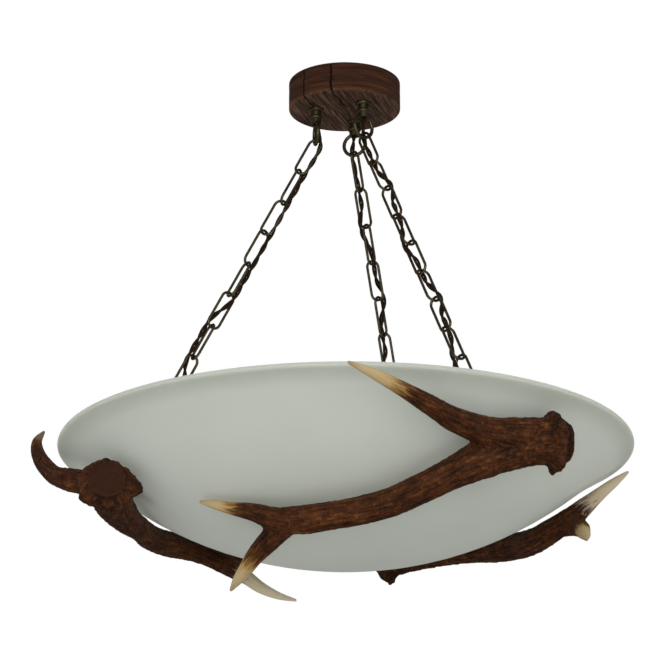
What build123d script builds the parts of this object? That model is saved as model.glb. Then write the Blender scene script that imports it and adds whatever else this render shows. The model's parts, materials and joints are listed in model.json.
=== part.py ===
"""Antler bowl ceiling light: a turned wooden rose, three brass chains carrying flex, a frosted
glass bowl and three cast antlers bolted round it, with a lamp inside the bowl at every bolt.

Millimetres, +Z up. The origin is the middle of the rose's top, on the ceiling plane.
Azimuths are degrees anticlockwise from +X, seen from above.
"""
import os
from math import asin, cos, hypot, radians, sin, sqrt, tan

from build123d import *

os.makedirs("parts", exist_ok=True)

# Fits and clearances
THREAD_FIT = 0.15
HOLE_FIT = 0.3
LINK_PLAY = 0.3
EYE_PLAY = 0.8
FLEX_PLAY = 0.6
FLEX_CUT = 1.5
FLEX_LOOP_CUT = 2.3

# Rose
ROSE_D = 100.0
ROSE_H = 27.0
ROSE_WALL = 9.0
ROSE_FLOOR = 8.0
ROSE_TOP_ROUND = 1.5
ROSE_LOW_ROUND = 2.0

# Ceiling strap and its two side screws
STRAP_W = 16.0
STRAP_T = 1.5
STRAP_END_GAP = 1.2
EAR_H = 15.0
SLOT_SPACING = 60.0
SLOT_LENGTH = 10.0
SLOT_W = 4.5
SIDE_SCREW_D = 4.0
SIDE_SCREW_HEAD_D = 7.0
SIDE_SCREW_HEAD_H = 2.6
SIDE_SCREW_Z = -9.5
SIDE_SCREW_REACH = 4.0
SIDE_SCREW_SINK = 0.3
DRIVER_SLOT_W = 1.0
DRIVER_SLOT_DEPTH = 0.9

# Terminal block
BLOCK_L = 24.0
BLOCK_W = 13.0
BLOCK_H = 10.0
BLOCK_WAYS = 3
BLOCK_PITCH = 7.6
TERMINAL_D = 3.4
TERMINAL_H = 4.0
TERMINAL_SINK = 1.0
WIRE_HOLE_D = 2.6
WIRE_HOLE_UP = 3.5
BLOCK_ROUND = 1.5

# Chain loops under the rose
CHAINS = {"left": 190.0, "front": -50.0, "rear": 70.0}
LOOP_R = 26.0
STEM_D = 10.0
STEM_ABOVE_NUT = 1.0
NUT_AF = 14.0
NUT_H = 4.0
WASHER_D = 16.0
WASHER_T = 1.0
FLANGE_D = 14.0
FLANGE_H = 2.6
FLANGE_ROUND = 1.5
NECK_D = 9.4
NECK_H = 3.6
BEAD_D = 12.0
BEAD_H = 3.8
BEAD_ROUND = 1.6
LOOP_MAJOR = 10.0
LOOP_WIRE = 3.2
RING_DROP = 23.0

# Chain: each link has rolled a few degrees round the chain's line from lying square
LINKS = 10
LINK_WIRE = 2.4
LINK_INNER_L = 33.8
LINK_INNER_W = 9.2
LINK_ROLL = {
    "left": [23, 28, 28, 50, 64, 65, 68, 60, 38, 16],
    "front": [-6, 8, -6, 8, -6, 8, -6, 8, -6, 8],
    "rear": [13, 13, 13, 13, 13, 13, 13, 13, 13, 13],
}

# Flex woven down each chain: degrees round the chain's line from outward, beside the loop and
# then beside each joint of the links; where they change, it passes through the link between
FLEX_AT = {
    "left": [135, 135, 135, 135, 135, 135, 315, 315, 135],
    "front": [225, 225, 315, 405, 495, 585, 675, 765, 855],
    "rear": [-45, -45, -135, -225, -315, -405, -495, -585, -585],
}
FLEX_D = 4.2
FLEX_ASIDE = 6.8
FLEX_OFF_LOOP = 8.4
FLEX_IN_HOLE = 1.0
FLEX_BEND = 14.0
FLEX_TOP_BEND = 12.0
FLEX_TOP_Z = -8.0
FLEX_IN_LAMP = 5.5

# Glass bowl
RIM_R = 250.0
LIP_W = 29.0
LIP_DROP = 16.5
BOWL_DEPTH = 97.3
GLASS_T = 5.0
RIM_ROUND = 2.0
LIP_SOFT = 200.0
BOLT_IN = 71.2
EYE_BELOW_RIM = 8.6

# Eye bolt stack through the glass
SHANK_D = 8.0
COLLAR_D = 14.0
GLASS_HOLE_PLAY = 1.0
PAD_D = 24.0
PAD_T = 1.5
PLATE_D = 20.0
PLATE_T = 1.2
SEAT_PAD_D = 20.0
SEAT_PAD_T = 2.0
BOSS_D = 19.0
BOSS_DEPTH = 12.0
BOSS_TAPER = 3.0
SHANK_IN_ANTLER = 10.0

# Lamp bracket, holder and bulb
STRIP_W = 14.0
STRIP_T = 1.5
STRIP_BACK = 9.0
STRIP_RUN = 36.5
LAMP_DROP = 22.0
TAB_ABOVE_LAMP = 9.0
NIPPLE_D = 10.0
NIPPLE_OUT = 6.0
LAMP_NUT_H = 3.5
HOLDER_D = 27.0
HOLDER_L = 38.0
HOLDER_ROUND = 3.0
SOCKET_D = 14.6
SOCKET_DEPTH = 16.0
ENTRY_BACK = 13.0
ENTRY_PLAY = 2.2
ENTRY_DEPTH = 9.0
CAP_D = 13.8
CAP_L = 15.0
BULB_D = 45.0
BULB_NECK_D = 16.0
BULB_NECK_L = 9.0

# Antlers: rows are degrees past the bolt, then shares in percent: the distance from the axis of the
# rim's radius, the height above the rim of the bowl's depth, the thickness of the thickest beam
ANTLER_D = 36.0
BURR_OVER = 1.32
BURR_H = 10.0
BURR_SET = 2.0
BURR_KNOBS = 11
BURR_SWELL = 1.8
FRONT_BEAM = [
    (-7.5, 95.6, -40.1, 102.8), (-4, 92.4, -41.1, 105.6), (0, 87.6, -45.2, 100),
    (6, 82.4, -55, 91.7), (13, 72.8, -68.9, 72.2), (18, 66, -77.1, 69.4),
    (24, 58.8, -84.3, 66.7), (34, 53.2, -89.9, 66.7), (46, 50, -93, 65.3),
    (56, 48.8, -94, 68.1), (66, 49.6, -92.5, 56.9), (77, 53.2, -83.8, 40.3),
    (83, 55.2, -79.7, 30.6), (89, 58, -74.5, 22.2), (94, 60.4, -69.9, 7.8),
]
FRONT_BROW = [
    (2, 88.8, -42.1, 77.8), (9, 88, -38, 66.7), (16, 89.6, -34.9, 58.3),
    (23, 96.4, -30.8, 47.2), (30, 104, -23.1, 34.7), (36, 109.2, -13.4, 22.2),
    (39.7, 112.2, -7.4, 7.8),
]
FRONT_FORK = [
    (61, 49.6, -94.6, 55.6), (70.5, 45.2, -100.2, 54.2), (79, 42.8, -106.9, 50),
    (85.7, 42.8, -115.6, 41.7), (92, 42.4, -123.3, 34.7), (98, 43.2, -132.6, 23.6),
    (102, 44, -139.8, 7.8),
]
LEFT_BEAM = [
    (-16, 88.4, -52.4, 94.4), (-9, 84, -56.5, 94.4), (1, 79.2, -58.6, 86.1),
    (10.5, 75.2, -62.2, 69.4), (20, 73.2, -61.7, 58.3), (31, 73.6, -61.2, 61.1),
    (42, 75.2, -58.1, 63.9), (52, 75.2, -56.5, 58.3), (60, 74.4, -58.6, 52.8),
    (67, 74.8, -57.6, 41.7), (74, 77.6, -51.4, 30.6), (81, 81.2, -44.2, 19.4),
    (87, 84.8, -38, 7.8),
]
LEFT_BROW = [
    (-6, 84, -49.3, 72.2), (-1, 89.2, -41.1, 61.1), (3, 95.2, -33.4, 55.6),
    (7, 100, -25.2, 45.8), (11, 104, -12.3, 41.7), (15, 108, 5.1, 34.7),
    (19, 110.4, 21.6, 26.4), (25, 111.6, 41.1, 8.3),
]
LEFT_FORK = [
    (56, 74.8, -58.6, 50), (60, 69.6, -67.8, 48.6), (61, 63.2, -77.1, 45.8),
    (61, 56.4, -87.4, 36.1), (63, 50, -99.7, 29.2), (67, 44, -108.9, 19.4),
    (73, 38.4, -115.1, 7.8),
]
REAR_BEAM = [
    (-12, 93.2, -41.1, 94.4), (-7.5, 90.8, -41.1, 83.3), (0, 87.2, -42.1, 72.2),
    (6, 85.6, -42.7, 66.7), (14, 83.6, -45.7, 65.3), (24, 80.4, -51.9, 66.7),
    (34, 78, -56, 66.7), (44, 76, -58.6, 63.9), (50, 78.4, -53.4, 59.7),
    (54, 82.8, -45.7, 54.2), (56, 87.2, -35.5, 43.1), (57, 92, -24.7, 31.9),
    (58, 97.2, -13.9, 22.2), (59, 101.6, -5.1, 7.8),
]
REAR_BROW = [
    (0, 88.8, -38, 61.1), (8, 92.4, -29.8, 55.6), (16, 98.8, -15.4, 44.4),
    (23, 104.8, -1, 33.3), (29, 108.8, 12.3, 23.6), (33, 110.8, 22.6, 16.7),
    (36, 111.6, 31.9, 7.8),
]
REAR_FORK = [
    (50, 80, -51.4, 50), (56, 82.8, -55.5, 50), (60, 83.2, -61.7, 44.4),
    (64, 82.8, -68.9, 34.7), (67, 82.8, -75, 25), (69, 82.8, -81.2, 7.8),
]
ANTLERS = {
    "left": (LEFT_BEAM, LEFT_BROW, LEFT_FORK),
    "front": (FRONT_BEAM, FRONT_BROW, FRONT_FORK),
    "rear": (REAR_BEAM, REAR_BROW, REAR_FORK),
}

# The chain's line, in the upright plane of azimuth 0: distances run down it from the apex,
# where the three lines meet on the axis
LOOP_RING_Z = -ROSE_H - RING_DROP
LOOP_WIRE_Z = LOOP_RING_Z - LOOP_MAJOR
LINK_PITCH = LINK_INNER_L - LINK_PLAY
CHAIN_RUN = LINKS * LINK_PITCH - LOOP_WIRE - EYE_PLAY
EYE_R = RIM_R - BOLT_IN
TILT = asin((EYE_R - LOOP_R) / CHAIN_RUN)
APEX_Z = LOOP_WIRE_Z + LOOP_R / tan(TILT)
LOOP_S = LOOP_R / sin(TILT)
EYE_S = LOOP_S + CHAIN_RUN
EYE_Z = APEX_Z - EYE_S * cos(TILT)
LINK_ARC = (LINK_INNER_W + LINK_WIRE) / 2
LINK_STRAIGHT = LINK_INNER_L - LINK_INNER_W
FIRST_LINK_S = LOOP_S + LINK_INNER_L / 2 - LOOP_WIRE / 2 - LINK_PLAY
CHAIN_LINE = Plane(
    origin=(0, 0, APEX_Z),
    x_dir=(cos(TILT), 0, sin(TILT)),
    z_dir=(sin(TILT), 0, -cos(TILT)),
)

# The bowl's round, and the bolt's line from its middle through the chain's end
RIM_Z = EYE_Z + EYE_BELOW_RIM
LIP_R = RIM_R - LIP_W
LIP_RISE = BOWL_DEPTH - LIP_DROP
ROUND_R = (LIP_R**2 + LIP_RISE**2) / (2 * LIP_RISE)
ROUND_Z = RIM_Z - BOWL_DEPTH + ROUND_R
EYE_FROM_MIDDLE = hypot(EYE_R, EYE_Z - ROUND_Z)
BOLT_LINE = Plane(
    origin=(EYE_R, 0, EYE_Z),
    x_dir=(0, 1, 0),
    z_dir=(EYE_R, 0, EYE_Z - ROUND_Z),
)
GLASS_IN = ROUND_R - GLASS_T - EYE_FROM_MIDDLE
GLASS_OUT = ROUND_R - EYE_FROM_MIDDLE
PLATE_AT = GLASS_IN - PAD_T - PLATE_T
STRIP_AT = PLATE_AT - STRIP_T
SEAT_AT = GLASS_OUT + SEAT_PAD_T
BOLT_OUT = (EYE_R / EYE_FROM_MIDDLE, (EYE_Z - ROUND_Z) / EYE_FROM_MIDDLE)
LAMP_Z = RIM_Z - LAMP_DROP
TAB_R = EYE_R + BOLT_OUT[0] * (STRIP_AT + STRIP_T) + BOLT_OUT[1] * STRIP_RUN
HOLDER_IN = TAB_R - HOLDER_L
ENTRY_R = TAB_R - ENTRY_BACK


def save(name, shape):
    """Write one node."""
    export_step(shape, f"parts/{name}.step")


def turned(azimuth, shape):
    """A shape built at azimuth 0, carried round the axis."""
    return Rot(0, 0, azimuth) * shape


def around(shape):
    """The three copies of a shape built at azimuth 0, as separate solids of one node."""
    return Compound(children=[turned(azimuth, shape) for azimuth in CHAINS.values()])


def rod(diameter, low, high):
    """A cylinder on the Z axis between two heights."""
    return Pos(0, 0, (low + high) / 2) * Cylinder(diameter / 2, high - low)


def hexagon(across_flats, low, high):
    """A hexagonal bar on the Z axis between two heights."""
    outline = RegularPolygon(across_flats / 2, 6, major_radius=False)
    return Pos(0, 0, low) * extrude(outline, high - low)


def ring_washer(outer, inner, low, high):
    """A flat washer on the Z axis between two heights."""
    return rod(outer, low, high) - rod(inner, low - 1, high + 1)


def link():
    """One chain link in the XZ plane, its middle at the origin: two straights and two half rings."""
    half = LINK_STRAIGHT / 2
    side = Cylinder(LINK_WIRE / 2, LINK_STRAIGHT)
    wire = Plane.XY * Pos(LINK_ARC, 0) * Circle(LINK_WIRE / 2)
    end = revolve(wire, Axis.Y, -180)
    shape = Pos(LINK_ARC, 0, 0) * side + Pos(-LINK_ARC, 0, 0) * side
    shape += Pos(0, 0, half) * end
    shape += Pos(0, 0, -half) * (Rot(0, 180, 0) * end)
    return shape


def link_s(number):
    """How far down the chain's line the middle of a link lies."""
    return FIRST_LINK_S + (number - 1) * LINK_PITCH


def link_roll(side, number):
    """Degrees a link has rolled from square; the loop, number 0, is square."""
    rolls = [0] + LINK_ROLL[side]
    return rolls[min(number, len(rolls) - 1)]


def chain_links(side, first, last):
    """Links first to last of one chain, at azimuth 0; the odd ones lie nearly in the upright plane."""
    shapes = []
    for number in range(first, last + 1):
        turn = link_roll(side, number) + (0 if number % 2 else 90)
        shapes.append(CHAIN_LINE.location * Pos(0, 0, link_s(number)) * Rot(0, 0, turn) * link())
    return shapes


def joint_s(number):
    """How far down the chain's line link number and the next one meet."""
    return FIRST_LINK_S + (number - 0.5) * LINK_PITCH


def beside_chain(angle, off, down):
    """A point off the chain's line at azimuth 0, in a direction round it counted from outward."""
    turn = radians(angle)
    return CHAIN_LINE.from_local_coords(Vector(off * cos(turn), off * sin(turn), down))


def flex_turn(side, joint):
    """The flex's direction round the chain's line at a joint, before the links' roll; joint 0 is the loop."""
    return FLEX_AT[side][-1] if joint >= LINKS - 2 else FLEX_AT[side][min(joint, len(FLEX_AT[side]) - 1)]


def flex_at(side, joint, off, down):
    """A point of the flex beside a joint, between the two links' planes."""
    roll = (link_roll(side, joint) + link_roll(side, joint + 1)) / 2
    return beside_chain(flex_turn(side, joint) + roll, off, down)


def flex_through(side, number):
    """The flex's point inside a link that it is threaded through, in a list; none if it stays beside it."""
    before = flex_turn(side, number - 1)
    after = flex_turn(side, number)
    if before == after:
        return []
    off = FLEX_IN_HOLE * sqrt(2) * cos(radians(after - before) / 2)
    return [beside_chain((before + after) / 2 + link_roll(side, number), off, link_s(number))]


def cord(points, bend=0):
    """A round cord along straight runs with tangent bends."""
    route = FilletPolyline(*points, radius=bend) if len(points) > 2 else Line(*points)
    return sweep(Plane(origin=route @ 0, z_dir=route % 0) * Circle(FLEX_D / 2), path=route)


def station_point(azimuth, row):
    """The middle of an antler station."""
    angle = radians(azimuth - row[0])
    reach = RIM_R * row[1] / 100
    return Vector(reach * cos(angle), reach * sin(angle), RIM_Z + BOWL_DEPTH * row[2] / 100)


def station_radius(row):
    """Half the thickness of an antler station."""
    return ANTLER_D * row[3] / 200


def horn(azimuth, rows):
    """A tapered, curved horn through round stations square to its line."""
    points = [station_point(azimuth, row) for row in rows]
    rings = []
    for index, row in enumerate(rows):
        before = points[max(index - 1, 0)]
        after = points[min(index + 1, len(points) - 1)]
        along = (after - before).normalized()
        level = (Vector(0, 0, 1) - along * along.Z).normalized()
        rings.append(Plane(points[index], x_dir=level, z_dir=along) * Circle(station_radius(row)))
    return loft(rings)


def burr(azimuth, beam):
    """The knobbly ring round an antler's cut end: a lobed outline drawn along the beam."""
    start = station_point(azimuth, beam[0])
    along = (station_point(azimuth, beam[1]) - start).normalized()
    lobes = []
    for number in range(2 * BURR_KNOBS):
        swell = BURR_SWELL * (1 if number % 2 else -1) * (1 + 0.4 * sin(1.7 * number))
        radius = station_radius(beam[0]) * BURR_OVER + swell
        angle = radians(180 * number / BURR_KNOBS)
        lobes.append((radius * cos(angle), radius * sin(angle)))
    outline = make_face(Spline(*lobes, periodic=True))
    return Plane(start + along * BURR_SET, z_dir=along).location * extrude(outline, BURR_H)


def antler(side):
    """One cast antler with its seat and the threaded hole for the eye bolt."""
    azimuth = CHAINS[side]
    beam, brow, fork = ANTLERS[side]
    bolt = Rot(0, 0, azimuth) * BOLT_LINE.location
    shape = horn(azimuth, beam) + horn(azimuth, brow) + horn(azimuth, fork)
    shape += burr(azimuth, beam)
    boss = Cone(BOSS_D / 2, BOSS_D / 2 - BOSS_TAPER, BOSS_DEPTH)
    shape += bolt * Pos(0, 0, SEAT_AT + BOSS_DEPTH / 2) * boss
    shape -= bolt * rod(SHANK_D + 2 * THREAD_FIT, SEAT_AT - 1, SEAT_AT + SHANK_IN_ANTLER + 1)
    return shape


# Rose: a turned disc, hollow on top, drilled for the loops and the side screws
cavity_r = ROSE_D / 2 - ROSE_WALL
rose = rod(ROSE_D, -ROSE_H, 0)
rose = fillet(rose.edges().group_by(Axis.Z)[0], ROSE_LOW_ROUND)
rose = fillet(rose.edges().group_by(Axis.Z)[-1], ROSE_TOP_ROUND)
rose -= rod(2 * cavity_r, -ROSE_H + ROSE_FLOOR, 1)
for azimuth in CHAINS.values():
    rose -= turned(azimuth, Pos(LOOP_R, 0, 0) * rod(STEM_D + 2 * HOLE_FIT, -ROSE_H - 1, 0))
side_axis = Pos(0, 0, SIDE_SCREW_Z) * Rot(0, 90, 0)
head_at = ROSE_D / 2 - SIDE_SCREW_HEAD_H
for turn in (0, 180):
    drill = rod(SIDE_SCREW_D + 2 * HOLE_FIT, 0, ROSE_D / 2 + 1)
    drill += rod(SIDE_SCREW_HEAD_D + 2 * HOLE_FIT, head_at - HOLE_FIT, ROSE_D / 2 + 1)
    rose -= turned(turn, side_axis * drill)
save("ceiling_rose", rose)

# Ceiling strap: a slotted bar with an ear bent down at each end
ear_r = cavity_r - STRAP_END_GAP
strap = Pos(0, 0, -STRAP_T / 2) * Box(2 * ear_r, STRAP_W, STRAP_T)
for end in (-1, 1):
    strap += Pos(end * (ear_r - STRAP_T / 2), 0, -EAR_H / 2) * Box(STRAP_T, STRAP_W, EAR_H)
    slot = Pos(end * SLOT_SPACING / 2, 0, -STRAP_T) * SlotOverall(SLOT_LENGTH, SLOT_W)
    strap -= extrude(slot, 2 * STRAP_T, both=True)
strap &= rod(2 * ear_r, -EAR_H, 0)
strap -= side_axis * rod(SIDE_SCREW_D + 2 * THREAD_FIT, -ROSE_D, ROSE_D)
save("ceiling_strap", strap)

side_screw = rod(SIDE_SCREW_D, ear_r - STRAP_T - SIDE_SCREW_REACH, head_at)
head_top = ROSE_D / 2 - SIDE_SCREW_SINK
side_screw += rod(SIDE_SCREW_HEAD_D, head_at, head_top)
side_screw -= Pos(0, 0, head_top) * Box(DRIVER_SLOT_W, SIDE_SCREW_HEAD_D, 2 * DRIVER_SLOT_DEPTH)
side_screws = [turned(turn, side_axis * side_screw) for turn in (0, 180)]
save("rose_side_screws", Compound(children=side_screws))

# Terminal block on the rose's floor, one brass screw to a way
floor_z = -ROSE_H + ROSE_FLOOR
block = Pos(0, 0, floor_z + BLOCK_H / 2) * Box(BLOCK_L, BLOCK_W, BLOCK_H)
block = fillet(block.edges().filter_by(Axis.Z), BLOCK_ROUND)
ways = [(number - (BLOCK_WAYS - 1) / 2) * BLOCK_PITCH for number in range(BLOCK_WAYS)]
terminals = []
for way in ways:
    top = floor_z + BLOCK_H
    well_low = top - TERMINAL_SINK - TERMINAL_H - HOLE_FIT
    well = rod(TERMINAL_D + 2 * THREAD_FIT, well_low, top + 1)
    block -= Pos(way, 0, 0) * well
    wire_hole = Rot(90, 0, 0) * Cylinder(WIRE_HOLE_D / 2, BLOCK_W + 2)
    block -= Pos(way, 0, floor_z + WIRE_HOLE_UP) * wire_hole
    screw_top = top - TERMINAL_SINK
    screw = rod(TERMINAL_D, screw_top - TERMINAL_H, screw_top)
    screw -= Pos(0, 0, screw_top) * Box(DRIVER_SLOT_W, TERMINAL_D, 2 * DRIVER_SLOT_DEPTH)
    terminals.append(Pos(way, 0, 0) * screw)
save("terminal_block", block)
save("terminal_screws", Compound(children=terminals))

# Loops: a hollow threaded stem, a turned collar and a ring square to the radius
washer_top = floor_z + WASHER_T
nut_top = washer_top + NUT_H
neck_z = -ROSE_H - FLANGE_H
bead_z = neck_z - NECK_H
tail_z = bead_z - BEAD_H
collar = rod(STEM_D, -ROSE_H - 0.5, nut_top + STEM_ABOVE_NUT)
flange = rod(FLANGE_D, neck_z, -ROSE_H)
bead = rod(BEAD_D, tail_z, bead_z)
collar += fillet(flange.edges().group_by(Axis.Z)[0], FLANGE_ROUND)
collar += rod(NECK_D, bead_z - 0.5, neck_z + 0.5)
collar += fillet(bead.edges().filter_by(GeomType.CIRCLE), BEAD_ROUND)
tail_low = LOOP_RING_Z + LOOP_MAJOR - LOOP_WIRE / 2
collar += rod(NECK_D, tail_low, tail_z + 1)
ring = Pos(0, 0, LOOP_RING_Z) * Rot(0, 90, 0) * Torus(LOOP_MAJOR, LOOP_WIRE / 2)
loop = collar + ring
loop -= rod(FLEX_D + 2 * FLEX_PLAY, tail_low - 1, 0)
loop = Pos(LOOP_R, 0, 0) * loop
for side, azimuth in CHAINS.items():
    save(f"{side}_loop", turned(azimuth, loop))
stem_hole = STEM_D + 2 * THREAD_FIT
loop_washer = ring_washer(WASHER_D, stem_hole, floor_z, washer_top)
loop_nut = hexagon(NUT_AF, washer_top, nut_top) - rod(stem_hole, washer_top - 1, nut_top + 1)
save("loop_washers", around(Pos(LOOP_R, 0, 0) * loop_washer))
save("loop_nuts", around(Pos(LOOP_R, 0, 0) * loop_nut))

# Chains: the first link hangs in the loop; the front chain's last link carries the bowl
for side, azimuth in CHAINS.items():
    links = [turned(azimuth, one) for one in chain_links(side, 1, LINKS)]
    save(f"{side}_top_link", links[0])
    last = LINKS - 1 if side == "front" else LINKS
    save(f"{side}_chain", Compound(children=links[1:last]))
    if side == "front":
        save("front_bottom_link", links[-1])

# Flex: down the stem, past the loop's ring, then woven down the chain to the lamp
stub_end_z = tail_low - FLEX_IN_LAMP
holder_top = LAMP_Z + HOLDER_D / 2
stub = cord([Vector(LOOP_R, 0, FLEX_TOP_Z), Vector(LOOP_R, 0, stub_end_z)])
for side, azimuth in CHAINS.items():
    upper = [Vector(LOOP_R, 0, stub_end_z - FLEX_LOOP_CUT)]
    upper.append(flex_at(side, 0, FLEX_OFF_LOOP, LOOP_S - LOOP_WIRE))
    upper += flex_through(side, 1)
    upper.append(flex_at(side, 1, FLEX_ASIDE, joint_s(1) - FLEX_CUT))
    weave = [flex_at(side, 1, FLEX_ASIDE, joint_s(1))]
    for number in range(2, LINKS - 1):
        weave += flex_through(side, number)
        weave.append(flex_at(side, number, FLEX_ASIDE, joint_s(number)))
    weave.append(Vector(ENTRY_R, 0, holder_top - FLEX_IN_LAMP))
    save(f"{side}_flex_stub", turned(azimuth, stub))
    save(f"{side}_flex_upper", turned(azimuth, cord(upper, FLEX_TOP_BEND)))
    save(f"{side}_flex", turned(azimuth, cord(weave, FLEX_BEND)))

# Bowl: a shallow round with a flatter lip, drilled for the three bolts
lip_run = hypot(RIM_R - LIP_R, LIP_DROP)
lip_in = (-GLASS_T * LIP_DROP / lip_run, GLASS_T * (RIM_R - LIP_R) / lip_run)
inner_round = ROUND_R - GLASS_T
half_angle = asin(LIP_R / ROUND_R)
inner_edge = (inner_round * sin(half_angle), ROUND_Z - inner_round * cos(half_angle))
outer_edge = (LIP_R, RIM_Z - LIP_DROP)
outer_mid = (ROUND_R * sin(half_angle / 2), ROUND_Z - ROUND_R * cos(half_angle / 2))
inner_mid = (inner_round * sin(half_angle / 2), ROUND_Z - inner_round * cos(half_angle / 2))
rim_out = (RIM_R, RIM_Z)
rim_in = (RIM_R + lip_in[0], RIM_Z + lip_in[1])
bottom_out = (0, ROUND_Z - ROUND_R)
bottom_in = (0, ROUND_Z - inner_round)
outline = ThreePointArc(bottom_out, outer_mid, outer_edge)
outline += Line(outer_edge, rim_out)
outline += Line(rim_out, rim_in)
outline += Line(rim_in, inner_edge)
outline += ThreePointArc(inner_edge, inner_mid, bottom_in)
outline += Line(bottom_in, bottom_out)
section = make_face(outline)
for edge in (outer_edge, inner_edge):
    section = fillet(section.vertices().sort_by_distance(edge)[:1], LIP_SOFT)
bowl = revolve(Plane.XZ * section, Axis.Z, 360)
rim_edges = bowl.edges().filter_by(GeomType.CIRCLE).sort_by(Axis.Z)[-2:]
bowl = fillet(rim_edges, RIM_ROUND)
for azimuth in CHAINS.values():
    hole = rod(SHANK_D + 2 * GLASS_HOLE_PLAY, GLASS_IN - 3, GLASS_OUT + 3)
    bowl -= turned(azimuth, BOLT_LINE.location * hole)
save("glass_bowl", bowl)

# Eye bolts, built on the bolt's line: ring and collar inside, shank out into the antler
eye = Pos(0, 0, LOOP_MAJOR) * Rot(0, 90, 0) * Torus(LOOP_MAJOR, LOOP_WIRE / 2)
eye += rod(NECK_D, 2 * LOOP_MAJOR - LOOP_WIRE / 4, STRIP_AT - 1)
eye += rod(COLLAR_D, STRIP_AT - 2, STRIP_AT)
eye += rod(SHANK_D, STRIP_AT - 1, SEAT_AT + SHANK_IN_ANTLER)
eye = BOLT_LINE.location * Rot(0, 0, 90 * (LINKS % 2)) * eye
for side, azimuth in CHAINS.items():
    save(f"{side}_eye_bolt", turned(azimuth, eye))
shank_hole = SHANK_D + 2 * HOLE_FIT
plate = ring_washer(PLATE_D, shank_hole, PLATE_AT, PLATE_AT + PLATE_T)
inner_pad = ring_washer(PAD_D, shank_hole, PLATE_AT + PLATE_T, GLASS_IN)
inner_pad -= Pos(0, 0, -EYE_FROM_MIDDLE) * (Sphere(inner_round + 5) - Sphere(inner_round - 0.02))
seat_pad = ring_washer(SEAT_PAD_D, shank_hole, GLASS_OUT - 1, SEAT_AT)
seat_pad -= Pos(0, 0, -EYE_FROM_MIDDLE) * Sphere(ROUND_R + 0.02)
save("bolt_washers", around(BOLT_LINE.location * plate))
save("bolt_inner_pads", around(BOLT_LINE.location * inner_pad))
save("bolt_outer_pads", around(BOLT_LINE.location * seat_pad))

# Lamp brackets: a strip clamped under the collar, with a tab turned up for the holder
strip = Pos(0, (STRIP_BACK - STRIP_RUN) / 2, STRIP_AT + STRIP_T / 2)
strip = strip * Box(STRIP_W, STRIP_RUN + STRIP_BACK, STRIP_T)
strip -= rod(shank_hole, STRIP_AT - 1, STRIP_AT + STRIP_T + 1)
strip = BOLT_LINE.location * strip
tab_low = EYE_Z + BOLT_OUT[1] * STRIP_AT - BOLT_OUT[0] * STRIP_RUN
tab_high = LAMP_Z + TAB_ABOVE_LAMP
tab = Pos(TAB_R + STRIP_T / 2, 0, (tab_low + tab_high) / 2)
tab = tab * Box(STRIP_T, STRIP_W, tab_high - tab_low)
lamp_axis = Pos(0, 0, LAMP_Z) * Rot(0, 90, 0)
bracket = strip + tab - lamp_axis * rod(NIPPLE_D + 2 * HOLE_FIT, TAB_R - 1, TAB_R + 3)

holder = rod(HOLDER_D, HOLDER_IN, TAB_R)
holder = fillet(holder.edges().group_by(Axis.Z)[-1], HOLDER_ROUND)
holder += rod(NIPPLE_D, TAB_R - 1, TAB_R + STRIP_T + NIPPLE_OUT)
holder -= rod(SOCKET_D, HOLDER_IN - 1, HOLDER_IN + SOCKET_DEPTH)
holder = lamp_axis * holder
entry = rod(FLEX_D + 2 * ENTRY_PLAY, holder_top - ENTRY_DEPTH, holder_top + 2)
holder -= Pos(ENTRY_R, 0, 0) * entry
nut_at = TAB_R + STRIP_T
lamp_nut = hexagon(NUT_AF, nut_at, nut_at + LAMP_NUT_H)
lamp_nut -= rod(NIPPLE_D + 2 * THREAD_FIT, nut_at - 1, nut_at + LAMP_NUT_H + 1)

ball_at = HOLDER_IN - BULB_NECK_L - sqrt((BULB_D / 2) ** 2 - (BULB_NECK_D / 2) ** 2)
bulb = rod(CAP_D, HOLDER_IN - 1, HOLDER_IN + CAP_L)
bulb += rod(BULB_NECK_D, HOLDER_IN - BULB_NECK_L - 2, HOLDER_IN - 0.5)
bulb += Pos(0, 0, ball_at) * Sphere(BULB_D / 2)
for side, azimuth in CHAINS.items():
    save(f"{side}_lamp_bracket", turned(azimuth, bracket))
    save(f"{side}_lampholder", turned(azimuth, holder))
    save(f"{side}_bulb", turned(azimuth, lamp_axis * bulb))
save("lamp_nuts", around(lamp_axis * lamp_nut))

# Antlers
for side in CHAINS:
    save(f"{side}_antler", antler(side))
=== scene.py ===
"""Looks of the antler bowl ceiling light: stained oak rose, antique brass chains with twisted flex,
frosted glass bowl, three cast antlers and the lamps inside. Metres, in the part's own frame."""
import json
import logging
from collections.abc import Sequence
from dataclasses import dataclass, field
from enum import Enum
from math import asin, cos, pi, radians, sin, tan

import bpy
import numpy as np
from bpy.types import Camera, Light, Material, Node, NodeSocket, NodeTree, Object, World, bpy_prop_collection
from mathutils import Matrix

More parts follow.
